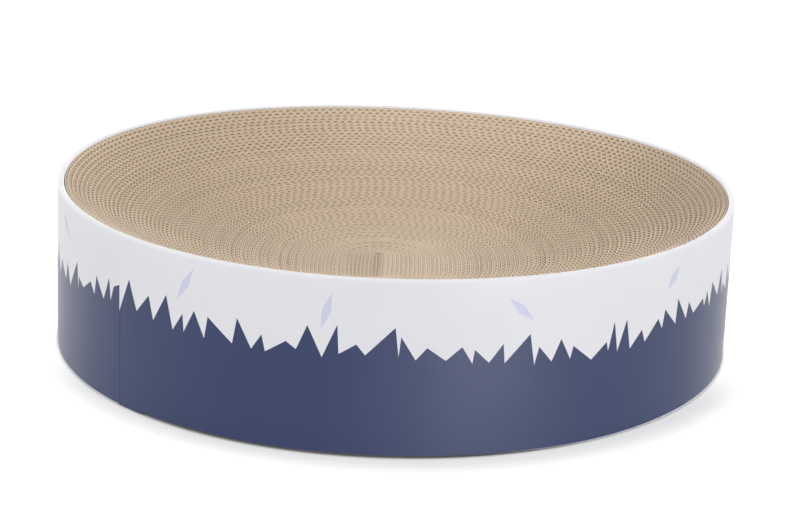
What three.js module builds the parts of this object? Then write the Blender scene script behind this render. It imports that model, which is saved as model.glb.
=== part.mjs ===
// Round cat scratcher bed: a printed wall ring that holds a dished coil of corrugated board.
// Millimetres, +Z up. The origin is on the floor under the middle of the bed, and -Y is its front.
import * as THREE from "three";

// Wall
const OUTER_DIAMETER = 500; // over the printed wrap
const WALL_HEIGHT = 120; // floor to the top of the rim
const WRAP_THICKNESS = 0.6; // one printed paper sheet
const WRAP_FOOT = 1.5; // the wrap stops this far above the floor
const WRAP_TURN_IN = 28; // how far the wrap reaches down inside the rim
const RIM_ROUNDING = 1.6; // outside radius of the wrap's two folds over the rim
const WALL_BOARD_THICKNESS = 2.7; // corrugated board ring inside the wrap

// Seam of the wrap: its end is glued over its start.
const LAP_ANGLE = 223; // degrees round from +X to the lap's free edge
const LAP_WIDTH = 20; // length of wrap that lies on the layer below
const LAP_EDGE = 0.2; // how far round the free edge takes to drop
const LAP_TOP_EASE = 3; // the lap thins out over this height, below the rim's rounding
const WALL_BUTT_OFFSET = 13; // along the wall, from the lap's free edge to the board's butt joint

// Base and coil
const BASE_BOARD_THICKNESS = 3; // disc in the foot of the wall
const STRIP_WIDTH = 48; // every strip of the coil, top edge to bottom edge
const RIM_DROP = 0.5; // the coil's outer edge lies this far below the rim
const DISH_POWER = 2.3; // how flat the middle of the dish is; 2 would be a parabola
const COIL_EYE_RADIUS = 5; // open middle, where the winding starts
const COIL_LOOPS = 23; // turns across the radius; each stands for about three layers of board
const COIL_STRIPS = 12; // strips of equal length, joined end to end
const COIL_END_THICKNESS = 1; // the first and last strip taper to this against the eye and the wall

// Glue lines and clearances
const GLUE_GAP = 0.3; // between wrap, wall board and base
const COIL_CLEARANCE = 0.3; // between the coil and the rim's turned-in wrap
const TURN_GAP = 0.5; // between one turn of the coil and the next
const BUTT_GAP = 0.6; // between the ends of strips, and of the wall board

// Facets
const RING_STEPS = 72;
const LOOP_STEPS = 36;
const ROUNDING_STEPS = 3;

const FULL_TURN = 2 * Math.PI;
const outerRadius = OUTER_DIAMETER / 2;
const boardOuterRadius = outerRadius - WRAP_THICKNESS - GLUE_GAP;
const boardInnerRadius = boardOuterRadius - WALL_BOARD_THICKNESS;
const rimInnerRadius = boardInnerRadius - GLUE_GAP - WRAP_THICKNESS;
const facetInset = Math.cos(Math.PI / RING_STEPS); // middle of a facet against its corners
const baseRadius = boardInnerRadius * facetInset - GLUE_GAP;
const coilRadius = rimInnerRadius * facetInset - COIL_CLEARANCE;
const coilSeat = BASE_BOARD_THICKNESS + GLUE_GAP;
const dishDepth = WALL_HEIGHT - RIM_DROP - coilSeat - STRIP_WIDTH;
const pitch = (coilRadius - COIL_EYE_RADIUS) / COIL_LOOPS;

const printedPaper = new THREE.MeshStandardMaterial({ color: 0x3f4a72, roughness: 0.45 });
const kraftBoard = new THREE.MeshStandardMaterial({ color: 0xbfa37f, roughness: 0.9 });

// Share of a ring's corner radius at any angle, so that every ring has the same facets.
function facetShare(angle) {
  const step = FULL_TURN / RING_STEPS;
  const intoFacet = angle - step * Math.floor(angle / step);
  return facetInset / Math.cos(intoFacet - step / 2);
}

// The ring's own angles from one end to another, with both ends.
function ringAngles(from, to) {
  const step = FULL_TURN / RING_STEPS;
  const inside = [];
  for (let n = Math.ceil(from / step); n * step < to; n++) {
    const angle = n * step;
    const clearOfEnds = Math.min(angle - from, to - angle) > step / 10;
    if (clearOfEnds) inside.push(angle);
  }
  return [from, ...inside, to];
}

// Carries an outline round the axis. Each station is an angle with its outline, a closed row of
// [radius, height] points, counter-clockwise. A full ring has no ends; a strip gets its end faces.
function sweepRound(stations, isFullRing) {
  const sides = stations[0].outline.length;
  const positions = stations.flatMap(({ angle, outline }) =>
    outline.flatMap(([radius, height]) => [
      radius * Math.cos(angle),
      radius * Math.sin(angle),
      height,
    ]),
  );
  const triangles = [];
  const spans = isFullRing ? stations.length : stations.length - 1;
  for (let span = 0; span < spans; span++) {
    const here = span * sides;
    const next = ((span + 1) % stations.length) * sides;
    for (let side = 0; side < sides; side++) {
      const beside = (side + 1) % sides;
      triangles.push(here + side, next + side, here + beside);
      triangles.push(here + beside, next + side, next + beside);
    }
  }
  if (!isFullRing) {
    const corners = stations[0].outline.map(([radius, height]) => new THREE.Vector2(radius, height));
    const lastStation = (stations.length - 1) * sides;
    for (const [a, b, c] of THREE.ShapeUtils.triangulateShape(corners, [])) {
      triangles.push(a, b, c);
      triangles.push(lastStation + c, lastStation + b, lastStation + a);
    }
  }
  const geometry = new THREE.BufferGeometry();
  geometry.setAttribute("position", new THREE.Float32BufferAttribute(positions, 3));
  geometry.setIndex(triangles);
  geometry.computeVertexNormals();
  return geometry;
}

function namedMesh(name, geometry, material) {
  const mesh = new THREE.Mesh(geometry, material);
  mesh.name = name;
  return mesh;
}

// Points of a quarter round about a centre, from one angle to another in degrees.
function rounding(centreRadius, centreHeight, radius, fromDegrees, toDegrees) {
  return Array.from({ length: ROUNDING_STEPS + 1 }, (_, n) => {
    const turn = THREE.MathUtils.degToRad(
      THREE.MathUtils.lerp(fromDegrees, toDegrees, n / ROUNDING_STEPS),
    );
    return [centreRadius + radius * Math.cos(turn), centreHeight + radius * Math.sin(turn)];
  });
}

// The wrap in section: up the outside, over the rim and down inside, and back along its other face.
function wrapOutline(lapLift, share) {
  const foldHeight = WALL_HEIGHT - RIM_ROUNDING;
  const outerFold = outerRadius - RIM_ROUNDING;
  const innerFold = rimInnerRadius + RIM_ROUNDING;
  const insideRounding = RIM_ROUNDING - WRAP_THICKNESS;
  const turnInFoot = WALL_HEIGHT - WRAP_TURN_IN;
  const outline = [
    [outerRadius - WRAP_THICKNESS, WRAP_FOOT],
    [outerRadius + lapLift, WRAP_FOOT],
    [outerRadius + lapLift, foldHeight - LAP_TOP_EASE],
    ...rounding(outerFold, foldHeight, RIM_ROUNDING, 0, 90),
    ...rounding(innerFold, foldHeight, RIM_ROUNDING, 90, 180),
    [rimInnerRadius, turnInFoot],
    [rimInnerRadius + WRAP_THICKNESS, turnInFoot],
    ...rounding(innerFold, foldHeight, insideRounding, 180, 90),
    ...rounding(outerFold, foldHeight, insideRounding, 90, 0),
  ];
  return outline.map(([radius, height]) => [radius * share, height]);
}

// The wrap is a full ring. Its lapped end rises out of the sheet and stops in a free edge.
function printedWrap() {
  const freeEdge = THREE.MathUtils.degToRad(LAP_ANGLE);
  const lapStations = [
    [freeEdge - LAP_WIDTH / outerRadius, 0],
    [freeEdge - LAP_WIDTH / outerRadius / 2, WRAP_THICKNESS],
    [freeEdge, WRAP_THICKNESS],
    [freeEdge + LAP_EDGE / outerRadius, 0],
  ];
  const [lapStart] = lapStations[0];
  const [lapEnd] = lapStations.at(-1);
  const plainAngles = ringAngles(lapEnd, lapStart + FULL_TURN).slice(1, -1);
  const plainStations = plainAngles.map((angle) => [angle, 0]);
  const stations = [...lapStations, ...plainStations].map(([angle, lapLift]) => ({
    angle,
    outline: wrapOutline(lapLift, facetShare(angle)),
  }));
  return namedMesh("printed_wrap", sweepRound(stations, true), printedPaper);
}

// The board ring stands on the floor. Its two ends meet in a butt joint behind the wrap.
function wallBoard() {
  const butt = THREE.MathUtils.degToRad(LAP_ANGLE) + WALL_BUTT_OFFSET / boardOuterRadius;
  const halfGap = BUTT_GAP / 2 / boardInnerRadius;
  const top = WALL_HEIGHT - RIM_ROUNDING;
  const stations = ringAngles(butt + halfGap, butt + FULL_TURN - halfGap).map((angle) => {
    const inner = boardInnerRadius * facetShare(angle);
    const outer = boardOuterRadius * facetShare(angle);
    return { angle, outline: [[inner, 0], [outer, 0], [outer, top], [inner, top]] };
  });
  return namedMesh("wall_board", sweepRound(stations, false), kraftBoard);
}

function baseBoard() {
  const disc = new THREE.Shape().absarc(0, 0, baseRadius, 0, FULL_TURN);
  const geometry = new THREE.ExtrudeGeometry(disc, {
    depth: BASE_BOARD_THICKNESS,
    bevelEnabled: false,
    curveSegments: RING_STEPS,
  });
  return namedMesh("base_board", geometry, kraftBoard);
}

// Height of the coil's upper edge: the dish.
function dishHeight(radius) {
  return coilSeat + STRIP_WIDTH + dishDepth * (radius / coilRadius) ** DISH_POWER;
}

// Both faces of the wound board after a number of turns, held between the eye and the wall.
function coilFaces(turns) {
  const inner = COIL_EYE_RADIUS + pitch * (turns - 1);
  const outer = inner + pitch - TURN_GAP;
  return { inner: Math.max(inner, COIL_EYE_RADIUS), outer: Math.min(outer, coilRadius) };
}

// Turns at which strip number n starts, so that all strips are equally long. Strip ends lie on steps.
function stripStart(n) {
  if (n === 0) return (TURN_GAP + COIL_END_THICKNESS) / pitch;
  if (n === COIL_STRIPS) return COIL_LOOPS + 1 - COIL_END_THICKNESS / pitch;
  const eyeArea = COIL_EYE_RADIUS ** 2;
  const middleRadius = Math.sqrt(eyeArea + ((coilRadius ** 2 - eyeArea) * n) / COIL_STRIPS);
  const turns = (middleRadius - COIL_EYE_RADIUS) / pitch + 0.5;
  return Math.round(turns * LOOP_STEPS) / LOOP_STEPS;
}

// The turns of a strip's stations: its two ends, drawn back for the butt joint, and the steps between.
function stripTurns(n) {
  const [start, end] = [stripStart(n), stripStart(n + 1)];
  const drawBack = (turns) => BUTT_GAP / 2 / (FULL_TURN * coilFaces(turns).inner);
  const stepsInside = [];
  for (let step = Math.floor(start * LOOP_STEPS) + 1; step < end * LOOP_STEPS; step++) {
    stepsInside.push(step / LOOP_STEPS);
  }
  return [start + drawBack(start), ...stepsInside, end - drawBack(end)];
}

function coilStrip(n) {
  const stations = stripTurns(n).map((turns) => {
    const { inner, outer } = coilFaces(turns);
    const [innerTop, outerTop] = [dishHeight(inner), dishHeight(outer)];
    const outline = [
      [inner, innerTop - STRIP_WIDTH],
      [outer, outerTop - STRIP_WIDTH],
      [outer, outerTop],
      [inner, innerTop],
    ];
    return { angle: FULL_TURN * turns, outline };
  });
  const number = String(n + 1).padStart(2, "0");
  return namedMesh(`coil_strip_${number}`, sweepRound(stations, false), kraftBoard);
}

// Least gap between the turns of the coil, measured on the corners and mid-facets of facing sides.
function leastTurnGap() {
  const pointsOn = (face) =>
    Array.from({ length: COIL_STRIPS }, (_, n) => {
      const corners = stripTurns(n).map((turns) => {
        const radius = coilFaces(turns)[face];
        const point = new THREE.Vector2(radius, 0).rotateAround(new THREE.Vector2(), FULL_TURN * turns);
        return { turns, point };
      });
      const middles = corners.slice(1).map((corner, k) => ({
        turns: (corner.turns + corners[k].turns) / 2,
        point: corner.point.clone().lerp(corners[k].point, 0.5),
      }));
      return [...corners, ...middles];
    }).flat();
  const outsides = pointsOn("outer");
  const insides = pointsOn("inner");
  let least = Infinity;
  for (const outside of outsides) {
    for (const inside of insides) {
      if (inside.turns - outside.turns > 0.5) {
        least = Math.min(least, inside.point.distanceTo(outside.point));
      }
    }
  }
  return least;
}

const scratcherBed = new THREE.Group();
scratcherBed.name = "cat_scratcher_bed";
scratcherBed.add(printedWrap(), wallBoard(), baseBoard());
for (let n = 0; n < COIL_STRIPS; n++) scratcherBed.add(coilStrip(n));
console.log(`least gap between turns of the coil: ${leastTurnGap().toFixed(2)} mm`);

export default scratcherBed;
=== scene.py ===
"""Looks of a round cat scratcher bed: a dished coil of corrugated board in a printed paper wall.

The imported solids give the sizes. Every strip of the coil is built as real board here, a liner with
a fluted sheet on its inner side, so the scratching surface shows its open flutes.
"""

from __future__ import annotations

import logging
import math
from dataclasses import dataclass, field
from enum import Enum
from typing import Any, NamedTuple

import bpy
import numpy as np
from mathutils import Matrix, Vector

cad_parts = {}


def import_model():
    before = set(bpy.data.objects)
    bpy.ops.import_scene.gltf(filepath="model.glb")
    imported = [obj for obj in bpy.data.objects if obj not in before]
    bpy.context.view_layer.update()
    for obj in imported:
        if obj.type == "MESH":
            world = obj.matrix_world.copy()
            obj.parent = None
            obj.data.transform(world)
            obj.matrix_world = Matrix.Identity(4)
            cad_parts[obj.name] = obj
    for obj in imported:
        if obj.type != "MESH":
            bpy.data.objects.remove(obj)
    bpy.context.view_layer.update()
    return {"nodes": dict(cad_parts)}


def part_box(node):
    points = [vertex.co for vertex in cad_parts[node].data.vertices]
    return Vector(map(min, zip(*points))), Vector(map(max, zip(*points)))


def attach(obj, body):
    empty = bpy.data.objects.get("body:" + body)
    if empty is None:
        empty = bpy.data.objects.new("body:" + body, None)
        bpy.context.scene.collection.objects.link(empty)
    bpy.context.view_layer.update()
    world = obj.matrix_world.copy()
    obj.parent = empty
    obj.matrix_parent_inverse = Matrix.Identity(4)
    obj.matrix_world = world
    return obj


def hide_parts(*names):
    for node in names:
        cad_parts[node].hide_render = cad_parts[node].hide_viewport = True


LOG = logging.getLogger("scratcher_bed")
FULL_TURN = 2 * math.pi
BODY = "root"
WRAP_MAP = "wrap_map"
BOARD_SLOT = "corrugated_board"
PAPER_SLOT = "printed_paper"

# The coil's board and the wall's have the same flutes, and the same gap where two ends meet, in metres.
FLUTE_PITCH = 0.0064
STEPS_PER_FLUTE = 8
BUTT_GAP = 0.0006

# Edges of a mesh that turn by more than this stay sharp.
SHARP_TURN = math.radians(50)

Array = np.ndarray
Finish = bpy.types.Material
Colour = tuple[float, float, float, float]
Triple = tuple[float, float, float]
Pair = tuple[float, float]
Waves = tuple[tuple[float, int, float], ...]

WHITE: Colour = (1.0, 1.0, 1.0, 1.0)

# How far the soft wall's rim stands above its level, or below it.
RIM_WAVES: Waves = ((0.00146, 2, math.pi / 2 + 0.60), (0.0005, 3, math.pi / 2 - 1.2))


class Facing(Enum):
    """Sides of the fluted sheet that carry a liner: -1 is the left of the run, 1 its right."""

    BOTH = (-1, 1)
    OUTSIDE = (1,)


@dataclass
class Socket:
    """An output of a shader node. Arithmetic on it adds Math nodes to its graph."""

    graph: ShaderGraph
    output: bpy.types.NodeSocket

    def _math(self, operation: str, first: Value, second: Value) -> Socket:
        """Adds one Math node."""
        return self.graph.node("ShaderNodeMath", {"operation": operation}, {0: first, 1: second})

    def __add__(self, other: Value) -> Socket:
        """Sum of two values."""
        return self._math("ADD", self, other)

    __radd__ = __add__

    def __sub__(self, other: Value) -> Socket:
        """Difference of two values."""
        return self._math("SUBTRACT", self, other)

    def __rsub__(self, other: Value) -> Socket:
        """Difference with this value taken away."""
        return self._math("SUBTRACT", other, self)

    def __mul__(self, other: Value) -> Socket:
        """Product of two values."""
        return self._math("MULTIPLY", self, other)

    __rmul__ = __mul__

    def sine(self) -> Socket:
        """Sine of the value, in radians."""
        return self._math("SINE", self, 0.0)


Value = Socket | float | int | Colour | Triple


class ShaderGraph:
    """The node tree of one material or of the world."""

    def __init__(self, tree: bpy.types.NodeTree) -> None:
        """Empties a node tree.

        Args:
            tree: The tree to fill.
        """
        self.tree = tree
        tree.nodes.clear()

    def node(
        self,
        kind: str,
        settings: dict[str, Any] | None = None,
        inputs: dict[str | int, Value] | None = None,
        output: str | int = 0,
    ) -> Socket:
        """Adds a node, sets it up and fills its inputs.

        Args:
            kind: The node's Blender type.
            settings: Properties of the node, set first.
            inputs: Values or links by socket name or number.
            output: Which output to return.

        Returns:
            The chosen output, or an end node's first input.
        """
        made = self.tree.nodes.new(kind)
        for name, value in (settings or {}).items():
            setattr(made, name, value)
        for key, value in (inputs or {}).items():
            if isinstance(value, Socket):
                self.tree.links.new(value.output, made.inputs[key])
            else:
                made.inputs[key].default_value = value
        return Socket(self, made.outputs[output] if made.outputs else made.inputs[0])

    def mix(self, share: Value, first: Value, second: Value) -> Socket:
        """A blend of two colours, by the second one's share."""
        return self.node("ShaderNodeMix", {"data_type": "RGBA"}, {0: share, 6: first, 7: second}, 2)

    def noise(self, place: Socket, scale: float, detail: float) -> Socket:
        """Noise from 0 to 1 about 0.5, with a number of grains to the metre."""
        return self.node("ShaderNodeTexNoise", {}, {"Vector": place, "Scale": scale, "Detail": detail})

    def stretched(self, place: Socket, scale: Triple) -> Socket:
        """Coordinates drawn out by a scale on each axis."""
        return self.node("ShaderNodeMapping", {}, {"Vector": place, "Scale": scale})

    def object_place(self) -> Socket:
        """Object coordinates, in metres."""
        return self.node("ShaderNodeTexCoord", output="Object")

    def light_path(self, ray: str) -> Socket:
        """1 for rays of one kind, 0 for others."""
        return self.node("ShaderNodeLightPath", output=ray)

    def sent_on(self) -> Socket:
        """1 for rays that gloss mirrors or glass lets through, 0 for others."""
        return self.light_path("Is Glossy Ray") + self.light_path("Is Transmission Ray")

    def axis(self, vector: Socket, name: str) -> Socket:
        """One of a vector's X, Y and Z."""
        return self.node("ShaderNodeSeparateXYZ", {}, {0: vector}, name)

    def attribute(self, name: str) -> Socket:
        """A number stored on the mesh, or 0 where it has none."""
        return self.node("ShaderNodeAttribute", {"attribute_name": name}, output="Fac")

    def between(self, value: Value, low: float, high: float) -> Socket:
        """0 below low, 1 above high and a smooth step between."""
        return self.node(
            "ShaderNodeMapRange",
            {"interpolation_type": "SMOOTHSTEP"},
            {"Value": value, "From Min": low, "From Max": high},
        )

    def bump(self, height: Socket, strength: float, distance: float) -> Socket:
        """A normal tilted by a height."""
        return self.node(
            "ShaderNodeBump", {}, {"Height": height, "Strength": strength, "Distance": distance}
        )

    def surface(self, inputs: dict[str | int, Value]) -> None:
        """Ends the tree in a Principled shader.

        Args:
            inputs: Values or links of the shader's sockets.
        """
        shader = self.node("ShaderNodeBsdfPrincipled", {}, inputs)
        self.node("ShaderNodeOutputMaterial", {}, {"Surface": shader})


def new_graph(name: str) -> tuple[Finish, ShaderGraph]:
    """Makes an empty node material.

    Args:
        name: The material's name.

    Returns:
        The material and its graph.
    """
    material = bpy.data.materials.new(name)
    material.use_nodes = True
    return material, ShaderGraph(material.node_tree)


@dataclass(frozen=True)
class KraftBoard:
    """Raw brown board with fibres, blotches, a paler cut edge and flutes dark with real and painted
    shade.

    Noises are (grains to the metre, detail), and a bump is (strength, height). Depths are metres
    below the cut edge: painted shade darkens the board just inside a flute, and fades further in.
    """

    name: str = "kraft_board"
    deep: Colour = (0.60, 0.475, 0.352, 1.0)
    pale: Colour = (0.77, 0.625, 0.478, 1.0)
    cut: Colour = (0.79, 0.655, 0.508, 1.0)
    # Painted shade: the colour of the cut edge where it is darkened, on the right, in the back left
    # corner and on the near side.
    shaded_cut: Colour = (0.60, 0.49, 0.375, 1.0)
    # Painted shade laid just inside the flutes.
    hollow_shade: Colour = (0.27, 0.19, 0.12, 1.0)
    cut_depth: float = 0.00005
    # Painted shade in the flutes is full by the first depth, and the glow share of it fades out between
    # the next two.
    shade_depth: float = 0.0005
    shade_fade_depth: Pair = (0.0006, 0.0018)
    glow: float = 0.8
    blotch_noise: Pair = (45.0, 3.0)
    fibre_noise: Pair = (900.0, 3.0)
    fibre_stretch: Triple = (1.0, 1.0, 4.0)
    fibre_share: float = 0.55
    fibre_bump: Pair = (0.25, 0.0003)
    shade_range: Pair = (0.2, 0.8)
    roughness: float = 0.9
    gloss: float = 0.25

    def material(self) -> Finish:
        """Builds the finish.

        Returns:
            A material that reads the mesh's tint, which holds painted shade, the painted shade of its
            cut edge, the depth below that edge and the strength of the painted shade in the flutes.
        """
        material, graph = new_graph(self.name)
        place = graph.object_place()
        blotches = graph.noise(place, *self.blotch_noise)
        fibres = graph.noise(graph.stretched(place, self.fibre_stretch), *self.fibre_noise)
        grain = blotches * (1.0 - self.fibre_share) + fibres * self.fibre_share
        # The mesh's tint holds random tone and painted shade.
        shade = graph.between(grain + graph.attribute("tint"), *self.shade_range)
        board = graph.mix(shade, self.deep, self.pale)
        depth = graph.attribute("below_edge")
        # Painted shade darkens the cut edge where the mesh asks for it.
        cut = graph.mix(graph.attribute("edge_shade"), self.cut, self.shaded_cut)
        edged = graph.mix(graph.between(depth, -self.cut_depth, self.cut_depth), cut, board)
        shade_faded = graph.between(depth, *self.shade_fade_depth) * self.glow
        # Painted shade just inside a flute, fading deeper in; the mesh sets how strong it is.
        inside = graph.between(depth, self.cut_depth, self.shade_depth) * (1.0 - shade_faded)
        graph.surface(
            {
                "Base Color": graph.mix(inside * graph.attribute("flute_shade"), edged, self.hollow_shade),
                "Roughness": self.roughness,
                "Specular IOR Level": self.gloss,
                "Normal": graph.bump(fibres, *self.fibre_bump),
            }
        )
        return material


@dataclass(frozen=True)
class PrintedPaper:
    """Satin coated paper, bare or inked, with the board's flutes just showing through.

    Noises are (grains to the metre, detail), and the bump is (strength, height). The ribs of the
    flutes, the clouds and the grain add to the relief, and the last two to the roughness as well.
    """

    name: str
    colour: Colour
    worn: Colour
    roughness: float
    gloss: float
    haze: float = 0.0
    haze_roughness: float = 0.3
    grain_noise: Pair = (1600.0, 2.0)
    cloud_noise: Pair = (14.0, 3.0)
    worn_range: Pair = (0.35, 0.75)
    rib_relief: float = 0.5
    cloud_relief: float = 6.0
    grain_relief: float = 0.25
    relief_bump: Pair = (0.35, 0.00005)
    cloud_roughness: float = 0.08
    grain_roughness: float = 0.06

    def material(self) -> Finish:
        """Builds the finish.

        Returns:
            A material that reads the wrap's map, which runs along the wall and up it, in metres.
        """
        material, graph = new_graph(self.name)
        distance = graph.axis(graph.node("ShaderNodeUVMap", {"uv_map": WRAP_MAP}), "X")
        place = graph.object_place()
        grain = graph.noise(place, *self.grain_noise)
        clouds = graph.noise(place, *self.cloud_noise)
        ribs = (distance * (FULL_TURN / FLUTE_PITCH)).sine()
        relief = ribs * self.rib_relief + clouds * self.cloud_relief + grain * self.grain_relief
        least = self.roughness - (self.grain_roughness + self.cloud_roughness) / 2
        graph.surface(
            {
                "Base Color": graph.mix(graph.between(clouds, *self.worn_range), self.colour, self.worn),
                "Roughness": grain * self.grain_roughness + clouds * self.cloud_roughness + least,
                "Specular IOR Level": self.gloss,
                "Sheen Weight": self.haze,
                "Sheen Roughness": self.haze_roughness,
                "Normal": graph.bump(relief, *self.relief_bump),
            }
        )
        return material


@dataclass(frozen=True)
class StudioWhite:
    """Floor that the camera sees as white, and that keeps the bed's soft shadow.

    A painted shadow deepens it: the lift is less in a ring round the bed, in front of it and behind
    it. The ring starts a little inside the bed's radius, and its edges are counted from there.
    """

    bed_radius: float
    inset: float = 0.002
    name: str = "studio_white"
    colour: Colour = (0.52, 0.52, 0.525, 1.0)
    # Lift of the white inside the painted shadow, away from it, and in reflections.
    lift: float = 0.40
    far_lift: float = 0.72
    mirror_lift: float = 0.5
    open_edge: float = 0.005
    # The painted shadow: its offset middle, its edges from the bed, and the bands in front and behind.
    shade_middle: Triple = (0.006, -0.006, 0.0)
    shade_edge: Pair = (-0.002, 0.034)
    shade_front: Pair = (-0.15, -0.06)
    shade_back: Pair = (0.09, 0.16)

    def material(self) -> Finish:
        """Builds the finish.

        Returns:
            A matte material, lifted to white for the camera and for reflections except under the bed,
            and lifted less in the ring of painted shadow.
        """
        material, graph = new_graph(self.name)
        place = graph.object_place()
        from_middle = graph.node("ShaderNodeVectorMath", {"operation": "LENGTH"}, {0: place}, "Value")
        from_shade = graph.node(
            "ShaderNodeVectorMath", {"operation": "DISTANCE"}, {0: place, 1: self.shade_middle}, "Value"
        )
        covered = self.bed_radius - self.inset
        in_the_open = graph.between(from_middle, covered, covered + self.open_edge)
        near, far = (covered + edge for edge in self.shade_edge)
        deep = graph.axis(place, "Y")
        beside = graph.between(deep, *self.shade_front) * (1.0 - graph.between(deep, *self.shade_back))
        # Painted shadow: less lift in front of the bed and behind it, within the ring round the offset
        # middle.
        shade = (1.0 - beside) * (1.0 - graph.between(from_shade, near, far))
        seen = graph.light_path("Is Camera Ray") * (shade * (self.lift - self.far_lift) + self.far_lift)
        mirrored = graph.sent_on() * self.mirror_lift
        matte = graph.node("ShaderNodeBsdfDiffuse", {}, {"Color": self.colour})
        glow = graph.node("ShaderNodeEmission", {}, {"Strength": (seen + mirrored) * in_the_open})
        both = graph.node("ShaderNodeAddShader", {}, {0: matte, 1: glow})
        graph.node("ShaderNodeOutputMaterial", {}, {"Surface": both})
        return material


@dataclass
class Surface:
    """Points and four-sided faces of a mesh, with numbers and map places for its points."""

    points: Array
    faces: Array
    numbers: dict[str, Array] = field(default_factory=dict)
    wrap_map: Array | None = None

    @classmethod
    def joined(cls, parts: list[Surface]) -> Surface:
        """Several surfaces as one.

        Args:
            parts: Surfaces with the same numbers.

        Returns:
            One surface that holds them all.
        """
        starts = np.cumsum([0] + [len(part.points) for part in parts[:-1]])
        faces = np.concatenate([part.faces + start for part, start in zip(parts, starts)])
        numbers = {
            name: np.concatenate([part.numbers[name] for part in parts]) for name in parts[0].numbers
        }
        maps = None
        if parts[0].wrap_map is not None:
            maps = np.concatenate([part.wrap_map for part in parts])
        return cls(np.concatenate([part.points for part in parts]), faces, numbers, maps)

    def piece(self, name: str, material: Finish) -> bpy.types.Object:
        """Makes the surface an object of the scene.

        Args:
            name: The piece's name.
            material: Its finish.

        Returns:
            The object, at the origin.
        """
        mesh = bpy.data.meshes.new(name)
        corners = self.faces.astype(np.int32).ravel()
        mesh.vertices.add(len(self.points))
        mesh.vertices.foreach_set("co", self.points.astype(np.float32).ravel())
        mesh.loops.add(len(corners))
        mesh.loops.foreach_set("vertex_index", corners)
        mesh.polygons.add(len(self.faces))
        mesh.polygons.foreach_set("loop_start", np.arange(0, len(corners), 4, dtype=np.int32))
        mesh.polygons.foreach_set("use_smooth", np.ones(len(self.faces), dtype=bool))
        for key, values in self.numbers.items():
            stored = mesh.attributes.new(key, "FLOAT", "POINT")
            stored.data.foreach_set("value", values.astype(np.float32))
        if self.wrap_map is not None:
            layer = mesh.uv_layers.new(name=WRAP_MAP)
            layer.uv.foreach_set("vector", self.wrap_map.astype(np.float32)[corners].ravel())
        mesh.update(calc_edges=True)
        mesh.set_sharp_from_angle(angle=SHARP_TURN)
        mesh.materials.append(material)
        made = bpy.data.objects.new(name, mesh)
        bpy.context.scene.collection.objects.link(made)
        return made


def grid_faces(rows: int, columns: int, rows_close: bool, columns_close: bool) -> Array:
    """Faces of a grid of points that is numbered row by row.

    Args:
        rows: Number of rows, which run along the first parameter.
        columns: Points in a row.
        rows_close: Whether the last row joins the first.
        columns_close: Whether the last point of a row joins its first.

    Returns:
        Four point numbers for each face.
    """
    index = np.arange(rows * columns).reshape(rows, columns)
    if rows_close:
        index = np.concatenate([index, index[:1]])
    if columns_close:
        index = np.concatenate([index, index[:, :1]], axis=1)
    here, ahead = index[:-1], index[1:]
    return np.stack([here[:, :-1], ahead[:, :-1], ahead[:, 1:], here[:, 1:]], axis=-1).reshape(-1, 4)


def polar(angle: Array, radius: Array | float, height: Array | float) -> Array:
    """Points from angles, radii and heights, which are spread to one shape."""
    angle, radius, height = np.broadcast_arrays(angle, radius, height)
    return np.stack([radius * np.cos(angle), radius * np.sin(angle), height], axis=-1)


def eased(share: Array) -> Array:
    """A smooth step from 0 to 1."""
    share = np.clip(share, 0.0, 1.0)
    return share * share * (3 - 2 * share)


def ramp(value: Array, start: float, full: float) -> Array:
    """A smooth step from 0 at the start to 1 at the full value, which may be the lower one."""
    return eased((value - start) / (full - start))


def wavy(angle: Array, waves: Waves) -> Array:
    """A sum of sine waves round the bed, each given as (height, number in a turn, phase)."""
    return sum(height * np.sin(number * angle + phase) for height, number, phase in waves)


def smooth_noise(place: Array, spacing: float, draws: np.random.Generator) -> Array:
    """Random values along a line: one draw at each knot, eased from knot to knot.

    Args:
        place: Places along the line, rising from 0.
        spacing: Distance between knots.
        draws: Source of the random values.

    Returns:
        A value of about -1 to 1 at each place.
    """
    knots = draws.uniform(-1.0, 1.0, int(place.max() / spacing) + 2)
    knot = np.floor(place / spacing).astype(int)
    share = eased(place / spacing - knot)
    return knots[knot] * (1 - share) + knots[knot + 1] * share


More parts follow.
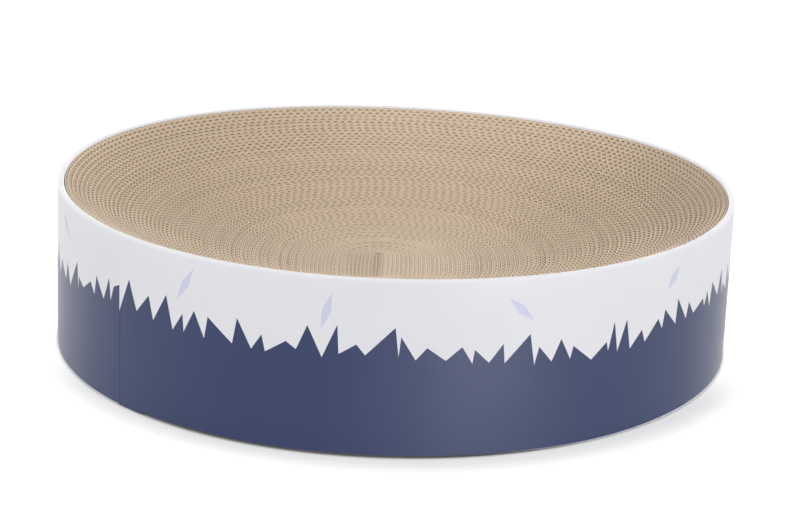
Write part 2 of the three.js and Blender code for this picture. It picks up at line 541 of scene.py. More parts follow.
@dataclass
class BoardRun:
    """A length of corrugated board on edge: its middle line in plan, and its edges' heights.

    The left level is the height from which down the next board hides this one's left side. Spread
    is how much wider than the paper its pressed edges are.
    """

    distance: Array
    middle: Array
    top: Array
    bottom: Array
    left_level: Array
    thickness: Array
    tint: Array
    edge_shade: Array
    flute_shade: Array
    spread: Array
    facing: Facing
    liner: float = 0.0004
    medium: float = 0.00036
    medium_drop: float = 0.00005
    # Painted shade reaches this much higher in the valleys of an open side, and takes this share in the
    # flutes against a liner.
    valley_shade: float = 0.0006
    inside_shade_share: float = 0.36
    liner_every: int = 4

    def _rightward(self, line: Array) -> Array:
        """Unit vectors to the right of a line in plan, which is outward on a left-hand turn.

        Args:
            line: Points of the line.

        Returns:
            A vector for each point, square to the line's direction there.
        """
        along = np.gradient(line, axis=0)
        along /= np.linalg.norm(along, axis=1, keepdims=True)
        return np.stack([along[:, 1], -along[:, 0]], axis=1)

    def _sheet(
        self,
        line: Array,
        thickness: Array,
        drop: float,
        every: int,
        left: Array,
        left_flute_shade: Array,
    ) -> Surface:
        """One paper sheet on edge: a rectangle carried along a line in plan, closed at both ends.

        Args:
            line: The sheet's middle line in plan.
            thickness: The paper's thickness.
            drop: How far its upper edge lies below the board's.
            every: Keeps one of this many points of the line, and its last.
            left: Height from which down the sheet's left side is hidden.
            left_flute_shade: Strength of the painted shade on its left, from 0 to 1.

        Returns:
            A closed surface.
        """
        kept = np.unique(np.append(np.arange(0, len(line), every), len(line) - 1))
        half = (self._rightward(line) * thickness[:, None] / 2)[kept]
        inner, outer = line[kept] - half, line[kept] + half
        top, bottom = self.top[kept] - drop, self.bottom[kept]
        section = [(inner, bottom), (outer, bottom), (outer, top), (inner, top)]
        points = np.stack([np.column_stack([plan, height]) for plan, height in section], axis=1)
        corners = len(section)
        sides = grid_faces(len(kept), corners, False, True)
        last = corners * (len(kept) - 1)
        ends = np.array([[0, 1, 2, 3], [last + 3, last + 2, last + 1, last]])
        # Depths below the edge and the strength of the painted flute shade, at each corner of the
        # section.
        level, on_left = left[kept], left_flute_shade[kept]
        on_right = self.flute_shade[kept] * self.inside_shade_share
        depth = np.stack([level - bottom, top - bottom, 0 * top, level - top], axis=1)
        flute_shade = np.stack([on_left, on_right, on_right, on_left], axis=1)
        numbers = {
            "below_edge": depth.ravel(),
            "tint": np.repeat(self.tint[kept], corners),
            "edge_shade": np.repeat(self.edge_shade[kept], corners),
            "flute_shade": flute_shade.ravel(),
        }
        return Surface(points.reshape(-1, 3), np.concatenate([sides, ends]), numbers)

    def surface(self) -> Surface:
        """The liners, and a sheet that swings as a sine of the distance in the room they leave.

        Returns:
            The sheets as one surface.
        """
        rightward = self._rightward(self.middle)
        half = self.thickness / 2
        liner, medium = self.liner * self.spread, self.medium * self.spread
        left_room = half - liner * (-1 in self.facing.value)
        right_room = half - liner * (1 in self.facing.value)
        swing = (left_room + right_room - medium) / 2
        flutes = np.sin(FULL_TURN * self.distance / FLUTE_PITCH)
        fluted = self.middle + rightward * ((right_room - left_room) / 2 + swing * flutes)[:, None]
        # Painted shade in the flutes: a share of it where a liner faces the fluted sheet, and all of it
        # on an open side, where it reaches higher in the valleys.
        inside = self.flute_shade * self.inside_shade_share
        level, darkness = self.top, inside
        if -1 not in self.facing.value:
            valley = eased(0.5 + flutes / 2)
            level = np.minimum(self.left_level + self.valley_shade * valley, self.top)
            darkness = self.flute_shade
        sheets = [self._sheet(fluted, medium, self.medium_drop, 1, level, darkness)]
        for side in self.facing.value:
            line = self.middle + rightward * (side * (half - liner / 2))[:, None]
            level = self.left_level if side < 0 else self.top
            sheets.append(self._sheet(line, liner, 0.0, self.liner_every, level, inside))
        return Surface.joined(sheets)


@dataclass(frozen=True)
class BedSizes:
    """Sizes of the bed in metres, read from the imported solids."""

    outer_radius: float
    wall_height: float
    board_outer_radius: float
    board_top: float
    base_radius: float
    base_thickness: float
    coil_radius: float
    coil_seat: float
    coil_edge: float

    @classmethod
    def from_frame(cls, outer_strip: str, inner_strip: str) -> BedSizes:
        """Reads the boxes of the solids.

        Args:
            outer_strip: Node of the coil's last strip.
            inner_strip: Node of its first strip.

        Returns:
            The sizes.
        """
        _, wrap_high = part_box("printed_wrap")
        _, board_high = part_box("wall_board")
        _, base_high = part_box("base_board")
        outer_low, outer_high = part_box(outer_strip)
        inner_low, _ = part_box(inner_strip)
        return cls(
            outer_radius=wrap_high.x,
            wall_height=wrap_high.z,
            board_outer_radius=board_high.x,
            board_top=board_high.z,
            base_radius=base_high.x,
            base_thickness=base_high.z,
            coil_radius=max(outer_high.x, outer_high.y, -outer_low.x, -outer_low.y),
            coil_seat=inner_low.z,
            coil_edge=outer_high.z,
        )


@dataclass
class Winding:
    """The coil's middle line: angles from the eye outward, and the length of board up to each."""

    angle: Array
    length: Array

    def angle_at(self, length: Array) -> Array:
        """Angle after a length of board."""
        return np.interp(length, self.length, self.angle)

    def length_at(self, angle: Array) -> Array:
        """Length of board up to an angle."""
        return np.interp(angle, self.angle, self.length)


class WornAndShadedEdge(NamedTuple):
    """What wear does to the coil's upper edge, with painted shade: width, a tint that holds painted
    shade, painted shade on the cut edge and painted shade in the flutes.
    """

    pressed: Array
    tint: Array
    edge_shade: Array
    flute_shade: Array


@dataclass(frozen=True)
class CoilWearAndShade:
    """How use has left the dish, and where painted shade darkens it, by reach, which is the radius as a
    share of the coil's, and angle.

    A pair is where an effect starts and where it is full: a band as reach, a side as the sine of the
    angle, which is 1 at the back, a depth as reach times that sine, and across as reach times the
    cosine, which is 1 on the right. Turns count from the start of the board.
    """

    # The whole dish, its wall and its front.
    # Strength of the painted shade in the flutes, from the eye to the wall.
    eye_flute_shade: float = 0.2268
    wall_flute_shade: float = 0.486
    middle_press: float = 2.5
    most_inward: float = 0.72
    wall_press: float = 0.4
    wall_band: Pair = (11 / 12, 1.0)
    front_press: float = 0.8
    front_band: Pair = (0.5, 1.0)
    front_side: Pair = (0.0, -0.5)

    # Sides and back left corner, which are less worn and darker with painted shade.
    right_slack: float = 1.2
    right_power: float = 1.6
    right_back_power: float = 0.4
    left_slack: float = 0.6
    left_power: float = 1.5
    corner_slack: float = 1.4
    corner_power: int = 4
    most_slack: float = 1.6
    # Painted shade on slack sides: a darker tint and stronger flute shade.
    slack_shade: float = 0.28
    slack_flute_shade: float = 0.85
    # Painted shade on the cut edge, on the right and in the back left corner.
    right_edge_shade: float = 0.5
    right_edge_shade_across: Pair = (0.68, 0.93)
    corner_edge_shade: float = 0.6

    # Round the eye, where painted shade also darkens the first turns.
    eye_wear: float = 0.12
    eye_right_wear: float = 0.5
    eye_wear_power: int = 2
    eye_back_slack: float = 1.1
    eye_back_power: int = 5
    eye_press: float = 0.5
    eye_tint: float = 0.35
    eye_shade: float = 0.4
    eye_slit_shade: float = 0.5
    eye_slit_turns: Pair = (1.8, 0.8)

    # The near side, which is the most pressed, with painted shade on its cut edge and less in its
    # flutes.
    near_depth: Pair = (0.0, -1 / 3)
    near_wall_band: Pair = (0.8, 29 / 30)
    near_wall_side: Pair = (0.4, -4 / 15)
    near_press: float = 0.8
    near_closing: float = 0.7
    near_edge_shade: float = 0.5
    near_side_edge_shade: float = 0.2

    def _unworn_and_shaded(self, across: Array, behind: Array, corner: Array) -> Array:
        """Slack edges: powers of the place across to the right and left, and the back left corner.

        Args:
            across: Reach times the angle's cosine.
            behind: The angle's sine.
            corner: Slack of the corner.

        Returns:
            How little the edge is worn, from 0 to the most; it also sets painted shade.
        """
        right = np.maximum(across, 0.0) ** (self.right_power + self.right_back_power * behind)
        left = np.maximum(-across, 0.0) ** self.left_power
        slack = self.right_slack * right + self.left_slack * left
        return np.clip(slack + corner, 0.0, self.most_slack)

    def _eye_worn(self, reach: Array, angle: Array) -> Array:
        """Wear round the eye: a power of the way in, most on the right, with less at the back.

        Args:
            reach: Radius as a share of the coil's.
            angle: Angle round the dish.

        Returns:
            The wear, which is below 0 where the edge is sheltered.
        """
        inward = 1.0 - reach
        even = self.eye_wear + self.eye_right_wear * np.cos(angle)
        back = self.eye_back_slack * np.maximum(np.sin(angle), 0.0)
        return inward**self.eye_wear_power * even - inward**self.eye_back_power * back

    def at(self, reach: Array, angle: Array, turns: Array) -> WornAndShadedEdge:
        """Wear and painted shade at places of the coil.

        The edge is pressed more from the wall to the middle, less where it is slack, and also along
        the wall, along the front and on the near side. Painted shade darkens slack board and its flutes,
        the cut edge on the right and in the back left corner, and the first turns in the eye, which are
        pressed less. The near side is closed, with less painted shade in its flutes and more on its cut
        edge.

        Args:
            reach: Radius as a share of the coil's.
            angle: Angle round the dish.
            turns: Turns from the start of the board.

        Returns:
            The state of the edge.
        """
        across, behind = reach * np.cos(angle), np.sin(angle)
        corner_side = np.maximum(behind, 0.0) * np.maximum(-np.cos(angle), 0.0)
        corner = self.corner_slack * reach**self.corner_power * corner_side
        unworn_and_shaded = self._unworn_and_shaded(across, behind, corner)
        worn = self._eye_worn(reach, angle)
        # Painted shade in the eye's first turns, which are also pressed less.
        eye_slit_shade = self.eye_slit_shade * ramp(turns, *self.eye_slit_turns)
        near_side = ramp(reach * behind, *self.near_depth)
        near_wall = ramp(reach, *self.near_wall_band) * ramp(behind, *self.near_wall_side)
        near = np.maximum(near_wall, near_side)
        front = ramp(reach, *self.front_band) * ramp(behind, *self.front_side)
        middle = np.minimum(1.0 - reach, self.most_inward) * np.maximum(1.0 - unworn_and_shaded, 0.0)
        pressed = self.middle_press * middle + self.wall_press * ramp(reach, *self.wall_band)
        pressed += self.front_press * front + self.eye_press * worn + self.near_press * near - eye_slit_shade
        # Painted shade in the flutes: more towards the wall and on slack sides, changed round the eye.
        flute_shade = self.eye_flute_shade + (self.wall_flute_shade - self.eye_flute_shade) * reach
        flute_shade *= (1.0 - self.eye_shade * worn) * (1.0 + self.slack_flute_shade * unworn_and_shaded)
        # Painted shade on the cut edge: on the right, in the back left corner and on the near side.
        edge_shade = self.right_edge_shade * ramp(across, *self.right_edge_shade_across) + self.corner_edge_shade * corner
        # The tint carries painted shade on slack sides and in the eye's first turns.
        return WornAndShadedEdge(
            pressed=pressed,
            tint=self.eye_tint * worn - self.slack_shade * unworn_and_shaded - eye_slit_shade,
            edge_shade=edge_shade + self.near_edge_shade * near + self.near_side_edge_shade * near_side,
            # Less painted flute shade on the near side, whose flutes are pressed closed.
            flute_shade=flute_shade * (1.0 - self.near_closing * near),
        )


@dataclass
class WoundCoil:
    """The dish: board wound in one spiral from the eye to the wall, with its middle pressed down.

    Angles run on from turn to turn and end at the end angle, where the board lies along the wall.
    Each play is random, as (length of board from draw to draw, most change).
    """

    sizes: BedSizes
    nodes: list[str]
    wear: CoilWearAndShade = CoilWearAndShade()
    turn_pitch: float = 0.00315
    turn_gap: float = 0.00005
    thickness_range: Pair = (0.002, 0.0036)
    eye_offset: Pair = (-0.016, -0.004)
    eye_stretch: float = 0.028
    eye_flatness: float = 6.0
    eye_start: float = 0.13
    strip_width: float = 0.048
    dish_power: float = 2.3
    end_angle: float = math.radians(265)
    end_step: float = 0.08
    settled_band: float = 0.03
    warp_power: int = 6
    slow_play: Pair = (0.35, 0.00025)
    quick_play: Pair = (0.06, 0.00018)
    tint_play: Pair = (0.5, 0.10)
    flute_play: Pair = (0.3, 0.4)
    phase_play: Pair = (2.0, 0.005)
    steps_per_turn: int = 360
    seed: int = 7

    def dish(self, radius: Array) -> Array:
        """Height of the coil's upper edge: flat in the middle, rising as a power of the radius.

        Args:
            radius: Radii from the spiral's middle.

        Returns:
            Their heights.
        """
        seat = self.sizes.coil_seat + self.strip_width
        depth = self.sizes.coil_edge - seat
        return seat + depth * (radius / self.sizes.coil_radius) ** self.dish_power

    @property
    def last_radius(self) -> float:
        """Radius at which the board's middle line ends."""
        return self.sizes.coil_radius - self.turn_pitch / 2

    def _radius(self, angle: Array) -> Array:
        """Radius of the spiral, which grows by a pitch in each turn.

        The outer turns are let out by up to one pitch, so that the last one lies along the wall. Past
        the end angle they step out over a share of a turn.

        Args:
            angle: Angles of the line's points.

        Returns:
            Their radii.
        """
        turns = (angle - self.end_angle) / FULL_TURN
        plain = self.last_radius + self.turn_pitch * turns
        into_turn = turns % 1.0
        room = self.turn_pitch * np.minimum(1.0 - into_turn, into_turn / self.end_step)
        let_out = room * np.clip(1.0 + (plain - self.last_radius) / self.settled_band, 0.0, 1.0)
        return np.maximum(plain + let_out, 0.0)

    def _plan(self, angle: Array) -> Array:
        """The middle line in plan: the spiral, moved to a flat eye left of the middle and drawn out.

        The move fades evenly from the eye to the wall and the stretch as its square. A steep tanh of the
        angle's sine parts the front from the back, so that the sides between them are straight.

        Args:
            angle: Angles of the line's points.

        Returns:
            Their places.
        """
        radius = self._radius(angle)
        near_eye = 1.0 - radius / self.sizes.coil_radius
        straight = self.eye_stretch * np.tanh(self.eye_flatness * np.sin(angle))
        across = radius * np.cos(angle) + near_eye * self.eye_offset[0]
        deep = radius * np.sin(angle) + near_eye * self.eye_offset[1] + near_eye**2 * straight
        return np.stack([across, deep], axis=1)

    def _winding(self) -> Winding:
        """The whole line: even steps of angle from the middle of the eye, at no radius, to the wall.

        Returns:
            Its angles, and the summed lengths of the steps up to them.
        """
        turns = self.last_radius / self.turn_pitch + self.eye_start
        left = np.linspace(turns, 0.0, int(turns * self.steps_per_turn))
        angle = self.end_angle - FULL_TURN * left
        steps = np.linalg.norm(np.diff(self._plan(angle), axis=0), axis=1)
        return Winding(angle, np.append(0.0, np.cumsum(steps)))

    def _edge(self, angle: Array, length: Array) -> tuple[Array, Array]:
        """The coil's upper edge: the dish, with a slow and a quick unevenness and the wall's warp.

        Args:
            angle: Angles of its points.
            length: Length of board up to them.

        Returns:
            Its places in plan and its heights.
        """
        radius = self._radius(angle)
        height = self.dish(radius)
        for number, (spacing, most) in enumerate((self.slow_play, self.quick_play)):
            height += most * smooth_noise(length, spacing, np.random.default_rng(self.seed + number))
        warp = wavy(angle, RIM_WAVES) * (radius / self.sizes.coil_radius) ** self.warp_power
        return self._plan(angle), height + warp

    def _run(self, winding: Winding, number: int, draws: np.random.Generator) -> BoardRun:
        """The board of one strip, as thick as the room to the turn inside it.

        Args:
            winding: The whole coil's line.
            number: The strip's place, from 0 at the eye.
            draws: Source of the board's small unevenness.

        Returns:
            The strip's run.
        """
        share = winding.length[-1] / len(self.nodes)
        steps = int(share / FLUTE_PITCH * STEPS_PER_FLUTE)
        along = np.linspace(BUTT_GAP / 2, share - BUTT_GAP / 2, steps)
        length = along + number * share
        angle = winding.angle_at(length)
        middle, top = self._edge(angle, length)
        start = winding.angle[0]
        inner = np.maximum(angle - FULL_TURN, start)
        inner_middle, inner_top = self._edge(inner, winding.length_at(inner))
        first_turn = angle < start + FULL_TURN
        room = np.where(first_turn, self.turn_pitch, np.linalg.norm(middle - inner_middle, axis=1))
        tint = draws.uniform(-1, 1) + smooth_noise(along, self.tint_play[0], draws)
        flutes = smooth_noise(along, self.flute_play[0], draws)
        phase = smooth_noise(length, self.phase_play[0], np.random.default_rng(self.seed + 2))
        reach = self._radius(angle) / self.sizes.coil_radius
        worn = self.wear.at(reach, angle, (angle - start) / FULL_TURN)
        return BoardRun(
            distance=length + self.phase_play[1] * phase,
            middle=middle,
            top=top,
            bottom=top - self.strip_width,
            left_level=np.where(first_turn, top, np.minimum(inner_top, top)),
            thickness=np.clip(room, *self.thickness_range) - self.turn_gap,
            # Random tone of the board, with painted shade from the edge's state.
            tint=self.tint_play[1] * tint + worn.tint,
            edge_shade=worn.edge_shade,
            # Strength of the painted flute shade, with random play.
            flute_shade=(1.0 + self.flute_play[1] * flutes) * worn.flute_shade,
            spread=1.0 + worn.pressed,
            facing=Facing.OUTSIDE,
            liner_every=1 if number == 0 else BoardRun.liner_every,
        )

    def build(self, board: Finish) -> None:
        """Makes the strips, one piece each.

        Args:
            board: The finish of the board.
        """
        draws = np.random.default_rng(self.seed)
        winding = self._winding()
        for number, node in enumerate(self.nodes):
            run = self._run(winding, number, draws)
            settle(run.surface().piece(f"board_{node}", board), BOARD_SLOT, node)


@dataclass
class WallBoard:
    """The corrugated ring that stiffens the wall. Only its foot shows."""

    sizes: BedSizes
    thickness: float = 0.0027
    butt_angle: float = math.radians(226)
    foot_gap: float = 0.0017

    def build(self, board: Finish) -> None:
        """Makes the ring: a run of board once round, up to the warped rim.

        Args:
            board: The finish of the board.
        """
        radius = self.sizes.board_outer_radius - self.thickness / 2
        around = FULL_TURN * radius - BUTT_GAP
        steps = int(around / FLUTE_PITCH * STEPS_PER_FLUTE)
        distance = np.linspace(0.0, around, steps)
        angle = self.butt_angle + (distance + BUTT_GAP / 2) / radius
        top = self.sizes.board_top + wavy(angle, RIM_WAVES)
        run = BoardRun(
            distance=distance,
            middle=polar(angle, radius, 0.0)[:, :2],
            top=top,
            bottom=np.full(steps, self.foot_gap),
            left_level=top,
            thickness=np.full(steps, self.thickness),
            tint=np.zeros(steps),
            edge_shade=np.zeros(steps),
            # Full painted shade in the wall board's flutes.
            flute_shade=np.ones(steps),
            spread=np.ones(steps),
            facing=Facing.BOTH,
        )
        settle(run.surface().piece("fluted_wall_board", board), BOARD_SLOT, "wall_board")


@dataclass
class BaseDisc:
    """The board disc in the foot of the wall. Depths are the finish's, below the cut edge: the rim
    takes full painted shade, so that it is dark in the gap under the wall's foot.
    """

    sizes: BedSizes
    around: int = 240
    edge_round: float = 0.0004
    pin_hole: float = 0.0002
    face_depth: float = -0.001
    rim_shade_depth: float = 0.0006

    def build(self, board: Finish) -> None:
        """Makes the disc: an outline of radii and heights, turned about the axis.

        Args:
            board: The finish of the board.
        """
        rim, top, ease = self.sizes.base_radius, self.sizes.base_thickness, self.edge_round
        middle = self.pin_hole
        radius = np.array([middle, rim / 2, rim - ease, rim, rim, rim - ease, rim / 2, middle])
        height = np.array([0.0, 0.0, 0.0, ease, top - ease, top, top, top])
        angle = np.linspace(0.0, FULL_TURN, self.around, endpoint=False)
        points = polar(angle[:, None], radius[None, :], height[None, :]).reshape(-1, 3)
        faces = grid_faces(self.around, len(radius), True, True)
        at_rim = np.tile((radius == rim).astype(float), self.around)
        # Painted shade on the rim; the faces keep the cut edge's colour.
        depth = self.face_depth + (self.rim_shade_depth - self.face_depth) * at_rim
        surface = Surface(points, faces, {"below_edge": depth, "tint": 0 * at_rim, "flute_shade": at_rim})
        settle(surface.piece("base_disc", board), BOARD_SLOT, "base_board")


@dataclass
class PrintedWrap:
    """The paper round the wall: a white sheet folded over the rim, with its printed border.

    Angles named turned run on from the lap's free edge, from 0 to a full turn. The foot's rise, fall
    and added columns and the margin's places are counted from there too, in degrees.
    """

    sizes: BedSizes
    thickness: float = 0.0006
    rim_width: float = 0.0045
    rim_rounding: float = 0.0017
    turn_in: float = 0.028
    lap_angle: float = math.radians(223)
    lap_width: float = 0.02
    lap_lift: float = 0.00014
    lap_edge: float = 0.0004
    ripple: float = 0.00025
    ripple_mean: float = 0.5
    ripple_waves: Waves = ((0.25, 5, 1.0), (0.15, 13, 2.2), (0.1, 29, 0.0))
    rim_ripple: float = 0.4
    fade_band: float = 0.012
    lap_fade: float = 3.0
    ink: float = 0.00004
    around: int = 900
    upright_steps: int = 24
    fold_steps: int = 8
    film_steps: int = 12
    seed: int = 21

    # The sheet's foot, and the bare margin between it and the print.
    foot_low: float = 0.0004
    foot_raised: float = 0.0018
    foot_rise: Pair = (5.0, 5.8)
    foot_fall: Pair = (85.0, 50.0)
    foot_columns: tuple[float, float, int] = (4.8, 6.0, 7)
    foot_band: float = 0.02
    margin_place: tuple[int, ...] = (0, 60, 85, 130, 200, 320, 345, 360)
    margin_width: tuple[float, ...] = (0.0, 0.0, 0.0005, 0.0013, 0.0006, 0.0002, 0.0005, 0.0004)

    # The zigzag border, with its two steps where the print meets at the lap.
    border_height: float = 0.068
    border_waves: Waves = ((0.004, 3, 0.6), (0.003, 7, 2.0))
    lap_print: Pair = (-0.006, 0.012)
    tooth_width: Pair = (0.008, 0.021)
    tooth_rise: Pair = (0.004, 0.019)
    tooth_fall: Pair = (0.0, 0.005)
    tooth_lean: float = 0.7
    lean_range: Pair = (0.12, 0.88)

    # The pale lozenges.
    fleck_count: int = 13
    fleck_play: float = 0.3
    fleck_height: Pair = (0.092, 0.103)
    fleck_length: Pair = (0.018, 0.028)
    fleck_width: Pair = (0.005, 0.008)
    fleck_slant: float = 1.1
    fleck_tip: float = 0.0001
    fleck_steps: int = 8
    fleck_columns: int = 3

    def _angles(self, extra: Array) -> Array:
        """Turned angles of the sheet's columns: even ones, some at the lap and foot, and added ones.

        Args:
            extra: Angles to add.

        Returns:
            All of them, in rising order.
        """
        plain = np.linspace(0.0, FULL_TURN, self.around, endpoint=False)
        edge = self.lap_edge / self.sizes.outer_radius
        step = np.radians(np.linspace(*self.foot_columns))
        return np.unique(np.concatenate([plain, [edge, FULL_TURN - edge / 2], step, extra]))

    def _foot(self, turned: Array) -> Array:
        """Height of the sheet's lower edge: raised along the front, from just past the lap.

        Args:
            turned: Angle on from the lap's free edge.

        Returns:
            The height above the floor.
        """
        degrees = np.degrees(turned)
        raised = ramp(degrees, *self.foot_rise) * ramp(degrees, *self.foot_fall)
        return self.foot_low + (self.foot_raised - self.foot_low) * raised

    def _margin(self, turned: Array) -> Array:
        """Bare paper below the print, which isn't quite in register: straight from place to place."""
        return np.interp(turned, np.radians(self.margin_place), self.margin_width)

    def swell(self, turned: Array, height: Array) -> Array:
        """How far the wrap's outer face stands out from its plain radius.

        The lapped end rises over half the lap's width and drops at its free edge, and the sheet
        ripples a little as a sum of waves. Both fade out under the rim's rounding.

        Args:
            turned: Angle on from the lap's free edge.
            height: Height above the floor.

        Returns:
            The distance, spread over both.
        """
        from_edge = (FULL_TURN - turned) * self.sizes.outer_radius
        rise = ramp(from_edge, self.lap_width, self.lap_width / 2)
        drop = np.clip(1.0 - turned * self.sizes.outer_radius / self.lap_edge, 0.0, 1.0)
        lap = self.lap_lift * np.maximum(rise, drop)
        ripple = self.ripple * (self.ripple_mean + wavy(turned, self.ripple_waves))
        below_rim = self.sizes.wall_height - self.rim_rounding - height
        fade = np.clip(below_rim / self.fade_band, 0.0, 1.0)
        ripple = ripple * (self.rim_ripple + (1.0 - self.rim_ripple) * fade)
        return (lap + ripple) * np.minimum(fade * self.lap_fade, 1.0)

    def _place(self, turned: Array, height: Array, out: Array | float) -> Array:
        """Points of the warped wall, whose warp grows evenly from the floor to the rim.

        Args:
            turned: Angle on from the lap's free edge.
            height: Height above the floor, before the warp.
            out: Distance out from the plain radius.

        Returns:
            The points, spread over all three.
        """
        angle = turned + self.lap_angle
        warp = wavy(angle, RIM_WAVES) * height / self.sizes.wall_height
        return polar(angle, self.sizes.outer_radius + out, height + warp)

    def _outline(self) -> tuple[Array, Array, Array]:
        """The sheet in section: up the outside, over the rim, down inside and back.

        Returns:
            Distances out from the plain radius, heights from the foot, both counter-clockwise, and
            1 where a point is on the upright outer face.
        """
        top = self.sizes.wall_height
        fold = top - self.rim_rounding
        quarter = np.linspace(0.0, math.pi / 2, self.fold_steps + 1)

        def folds(radius: float) -> tuple[Array, Array]:
            """Both folds over the rim, from the outside in: a quarter circle each.

            Args:
                radius: Radius of the circles.

            Returns:
                Distances out from the plain radius, and heights.
            """
            right = -self.rim_rounding + radius * np.cos(quarter)
            left = -self.rim_width + self.rim_rounding - radius * np.sin(quarter)
            rise = fold + radius * np.sin(quarter)
            return np.concatenate([right, left]), np.concatenate([rise, rise[::-1]])

        over, over_height = folds(self.rim_rounding)
        under, under_height = folds(self.rim_rounding - self.thickness)
        upright = np.linspace(0.0, fold, self.upright_steps + 1)[:-1]
        turned_in = [top - self.turn_in] * 2
        inside = [-self.rim_width, -self.rim_width + self.thickness]
        out = np.concatenate([0 * upright, over, inside, under[::-1], [-self.thickness]])
        height = np.concatenate([upright, over_height, turned_in, under_height[::-1], [0.0]])
        on_face = (np.arange(len(out)) < self.upright_steps).astype(float)
        return out, height, on_face

    def _sheet(self) -> Surface:
        """The white sheet: its outline carried round the wall, with its foot lifted at the front.

        Returns:
            A closed surface.
        """
        turned = self._angles(np.empty(0))[:, None]
        out, height, on_face = (row[None, :] for row in self._outline())
        height = height + self._foot(turned) * np.clip(1.0 - height / self.foot_band, 0.0, 1.0)
        points = self._place(turned, height, out + on_face * self.swell(turned, height))
        along = np.broadcast_to(turned * self.sizes.outer_radius, height.shape)
        wrap_map = np.stack([along, height], axis=-1).reshape(-1, 2)
        return Surface(points.reshape(-1, 3), grid_faces(*height.shape, True, True), {}, wrap_map)

    def _film(self, turned: Array, height: Array) -> Surface:
        """A closed film of ink on a grid of angles and heights on the outer face.

        Args:
            turned: Angles of the grid's points.
            height: Heights of the grid's points.

        Returns:
            The film's surface.
        """
        rows, columns = turned.shape
        count = rows * columns
        face = self.swell(turned, height)
        skin = self._place(turned, height, face + self.ink).reshape(-1, 3)
        back = self._place(turned, height, face - self.ink).reshape(-1, 3)
        front_faces = grid_faces(rows, columns, False, False)
        index = np.arange(count).reshape(rows, columns)
        border = np.concatenate([index[:-1, 0], index[-1, :-1], index[:0:-1, -1], index[0, :0:-1]])
        ahead = np.roll(border, -1)
        edge_faces = np.stack([border, border + count, ahead + count, ahead], axis=1)
        faces = np.concatenate([front_faces, front_faces[:, ::-1] + count, edge_faces])
        along = np.stack([turned * self.sizes.outer_radius, height], axis=-1).reshape(-1, 2)
        return Surface(np.concatenate([skin, back]), faces, {}, np.concatenate([along, along]))

    def _border(self, draws: np.random.Generator) -> tuple[Array, Array]:
        """A zigzag border of uneven teeth that lean either way, on a slowly wavering level.

        Args:
            draws: Source of the teeth's widths, leans and heights.

        Returns:
            Angles of its corners once round from the lap, and their heights.
        """
        around = FULL_TURN * self.sizes.outer_radius
        count = int(2 * around / sum(self.tooth_width))
        width = draws.uniform(*self.tooth_width, count)
        width *= FULL_TURN / width.sum()
        corner = np.zeros(2 * count + 1)
        corner[2::2] = np.cumsum(width)
        lean = draws.beta(self.tooth_lean, self.tooth_lean, count).clip(*self.lean_range)
        corner[1::2] = corner[:-1:2] + width * lean
        step = np.empty(2 * count + 1)
        step[0::2] = -draws.uniform(*self.tooth_fall, count + 1)
        step[1::2] = draws.uniform(*self.tooth_rise, count)
        step[0], step[-1] = self.lap_print
        return corner, self.border_height + wavy(corner, self.border_waves) + step

    def _blue(self, draws: np.random.Generator) -> Surface:
        """The dark lower print: even rows from the sheet's foot up to the zigzag border.

        Args:
            draws: Source of the border's teeth.

        Returns:
            The print's surface.
        """
        corner, peak = self._border(draws)
        turned = np.unique(np.append(self._angles(corner), FULL_TURN))
        top = np.interp(turned, corner, peak)
        foot = self._foot(turned) + self._margin(turned)
        share = np.linspace(0.0, 1.0, self.film_steps + 1)
        height = foot[:, None] + (top - foot)[:, None] * share[None, :]
        return self._film(np.broadcast_to(turned[:, None], height.shape), height)

    def _flecks(self, draws: np.random.Generator) -> Surface:
        """Slim pale lozenges in the white band, spread evenly with some play, each on a slant.

        Half a lozenge's width falls evenly from its middle to its tips, and a turn by the slant lays it
        on the wall.

        Args:
            draws: Source of the lozenges' places, sizes and slants.

        Returns:
            The lozenges as one surface.
        """
        films = []
        share = np.linspace(0.0, 1.0, self.fleck_steps + 1)
        across = np.linspace(-1.0, 1.0, self.fleck_columns)
        for number in range(self.fleck_count):
            place = number + 0.5 + draws.uniform(-self.fleck_play, self.fleck_play)
            middle = FULL_TURN * place / self.fleck_count
            centre = draws.uniform(*self.fleck_height)
            length, width = draws.uniform(*self.fleck_length), draws.uniform(*self.fleck_width)
            slant = draws.uniform(-self.fleck_slant, self.fleck_slant)
            along = ((share - 0.5) * length)[:, None]
            half = width / 2 * (1.0 - np.abs(2 * share - 1.0)) + self.fleck_tip
            side = across[None, :] * half[:, None]
            sideways = along * math.sin(slant) + side * math.cos(slant)
            up = along * math.cos(slant) - side * math.sin(slant)
            turned = middle + sideways / self.sizes.outer_radius
            films.append(self._film(turned[:, ::-1], (centre + up)[:, ::-1]))
        return Surface.joined(films)

    def build(self, white: Finish, blue: Finish, lilac: Finish) -> None:
        """Makes the sheet and its two prints.

        Args:
            white: Finish of the bare paper.
            blue: Finish of the dark print.
            lilac: Finish of the pale print.
        """
        draws = np.random.default_rng(self.seed)
        settle(self._sheet().piece("wrap_sheet", white), PAPER_SLOT, "printed_wrap")
        settle(self._blue(draws).piece("wrap_blue_print", blue), PAPER_SLOT)
        settle(self._flecks(draws).piece("wrap_pale_flecks", lilac), PAPER_SLOT)


def settle(piece: bpy.types.Object, slot: str, *nodes: str) -> None:
    """Lets a piece ride on the bed, and hides the solids that it stands for.

    Args:
        piece: The piece.
        slot: Name of a material slot; not used.
        nodes: Solids that it replaces.
    """
    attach(piece, BODY)
    if nodes:
        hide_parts(*nodes)
    LOG.info("%s: %d faces", piece.name, len(piece.data.polygons))


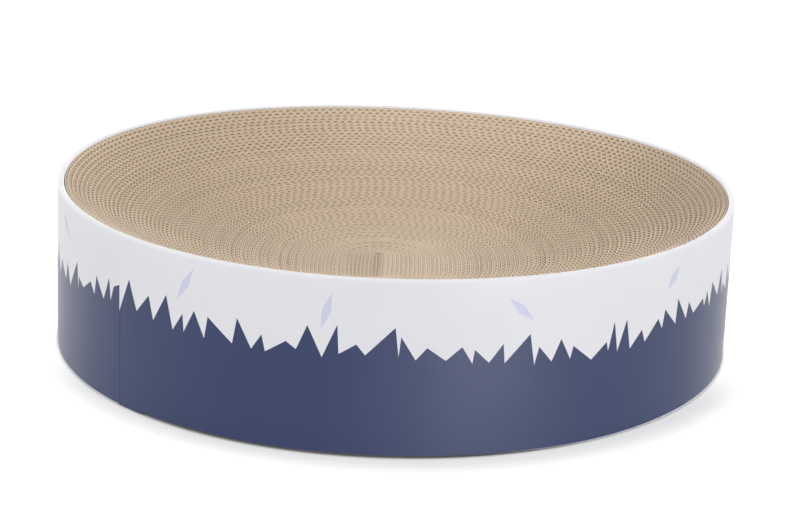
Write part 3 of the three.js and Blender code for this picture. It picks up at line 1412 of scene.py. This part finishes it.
@dataclass(frozen=True)
class PhotoCamera:
    """The photograph's view, in metres and radians. The picture lies off the lens axis."""

    eye: Triple = (0.0, -1.3803, 0.4856)
    aim: Triple = (0.1393, -0.0142, 0.1615)
    roll: float = 0.06376
    lens: float = 84.91
    sensor: float = 36.0
    shift: Pair = (-0.2398, -0.1636)

    def build(self) -> None:
        """Makes the scene's camera."""
        data = bpy.data.cameras.new("photo_camera")
        data.lens = self.lens
        data.sensor_width = self.sensor
        data.shift_x, data.shift_y = self.shift
        camera = bpy.data.objects.new("photo_camera", data)
        eye = Vector(self.eye)
        turn = (Vector(self.aim) - eye).to_track_quat("-Z", "Y").to_matrix().to_4x4()
        camera.matrix_world = Matrix.Translation(eye) @ turn @ Matrix.Rotation(self.roll, 4, "Z")
        bpy.context.scene.collection.objects.link(camera)
        bpy.context.scene.camera = camera


@dataclass(frozen=True)
class SoftLamp:
    """A soft box that faces the bed. One that doesn't light matte surfaces only adds a sheen."""

    name: str
    place: Triple
    width: float
    height: float
    power: float
    lights_matte: bool = True

    def build(self, target: Vector) -> None:
        """Makes the lamp.

        Args:
            target: The point that it faces.
        """
        data = bpy.data.lights.new(self.name, "AREA")
        data.shape = "RECTANGLE"
        data.size = self.width
        data.size_y = self.height
        data.energy = self.power
        lamp = bpy.data.objects.new(self.name, data)
        lamp.location = self.place
        lamp.rotation_euler = (target - lamp.location).to_track_quat("-Z", "Y").to_euler()
        lamp.visible_camera = False
        lamp.visible_diffuse = self.lights_matte
        bpy.context.scene.collection.objects.link(lamp)


@dataclass
class Studio:
    """A pale floor, soft lamps and a white surround."""

    floor_side: float = 12.0
    floor_drop: float = 0.0002
    floor_rows: int = 5
    surround: float = 0.9
    target: Triple = (0.0, 0.0, 0.06)
    lamps: tuple[SoftLamp, ...] = (
        SoftLamp("front_right", (0.95, -2.1, 0.30), 1.5, 0.5, 11.0),
        SoftLamp("left", (-2.0, -0.7, 0.7), 1.0, 1.0, 9.5),
        SoftLamp("right", (2.0, -0.5, 0.7), 1.0, 1.0, 5.0),
        SoftLamp("back", (0.0, 2.3, 0.55), 2.0, 0.5, 9.0),
        SoftLamp("sheen", (1.0, -2.1, 0.22), 0.8, 0.36, 38.0, lights_matte=False),
        SoftLamp("edge_left", (-1.5, 1.7, 0.25), 1.4, 0.4, 8.0, lights_matte=False),
        SoftLamp("edge_right", (1.5, 1.7, 0.25), 1.4, 0.4, 8.0, lights_matte=False),
        SoftLamp("rim_back", (0.0, 2.2, 0.85), 2.6, 0.5, 10.0, lights_matte=False),
    )

    def _floor(self, finish: Finish) -> None:
        """Makes the floor, a plain sheet just under the bed.

        Args:
            finish: The floor's finish.
        """
        reach = np.linspace(-self.floor_side / 2, self.floor_side / 2, self.floor_rows)
        across, deep = np.meshgrid(reach, reach, indexing="ij")
        points = np.stack([across, deep, np.full_like(across, -self.floor_drop)], axis=-1)
        faces = grid_faces(self.floor_rows, self.floor_rows, False, False)
        Surface(points.reshape(-1, 3), faces).piece("floor", finish)

    def _world(self) -> None:
        """Makes the surround: white to the camera and in reflections, softer as light."""
        world = bpy.data.worlds.new("surround")
        world.use_nodes = True
        bpy.context.scene.world = world
        graph = ShaderGraph(world.node_tree)
        seen = graph.light_path("Is Camera Ray") + graph.sent_on()
        strength = seen * (1.0 - self.surround) + self.surround
        background = graph.node("ShaderNodeBackground", {}, {"Color": WHITE, "Strength": strength})
        graph.node("ShaderNodeOutputWorld", {}, {"Surface": background})

    def build(self, finish: Finish) -> None:
        """Makes floor, lamps and surround.

        Args:
            finish: The floor's finish.
        """
        self._floor(finish)
        self._world()
        for lamp in self.lamps:
            lamp.build(Vector(self.target))
        bpy.context.scene.view_settings.view_transform = "Standard"


def main() -> None:
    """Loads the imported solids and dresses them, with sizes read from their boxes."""
    logging.basicConfig(level=logging.INFO, format="%(name)s: %(message)s")
    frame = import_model()
    PhotoCamera().build()
    strips = sorted(name for name in frame["nodes"] if name.startswith("coil_strip_"))
    sizes = BedSizes.from_frame(strips[-1], strips[0])

    board = KraftBoard().material()
    white = PrintedPaper(
        "white_paper",
        colour=(0.75, 0.75, 0.78, 1.0),
        worn=(0.73, 0.73, 0.76, 1.0),
        roughness=0.55,
        gloss=0.3,
    )
    blue = PrintedPaper(
        "blue_ink",
        colour=(0.014, 0.029, 0.101, 1.0),
        worn=(0.018, 0.033, 0.108, 1.0),
        roughness=0.45,
        gloss=0.5,
        haze=0.6,
    )
    lilac = PrintedPaper(
        "lilac_ink",
        colour=(0.60, 0.61, 0.76, 1.0),
        worn=(0.58, 0.59, 0.74, 1.0),
        roughness=0.55,
        gloss=0.3,
    )

    WoundCoil(sizes, strips).build(board)
    WallBoard(sizes).build(board)
    BaseDisc(sizes).build(board)
    PrintedWrap(sizes).build(white.material(), blue.material(), lilac.material())
    Studio().build(StudioWhite(sizes.outer_radius).material())


if __name__ == "__main__":
    main()
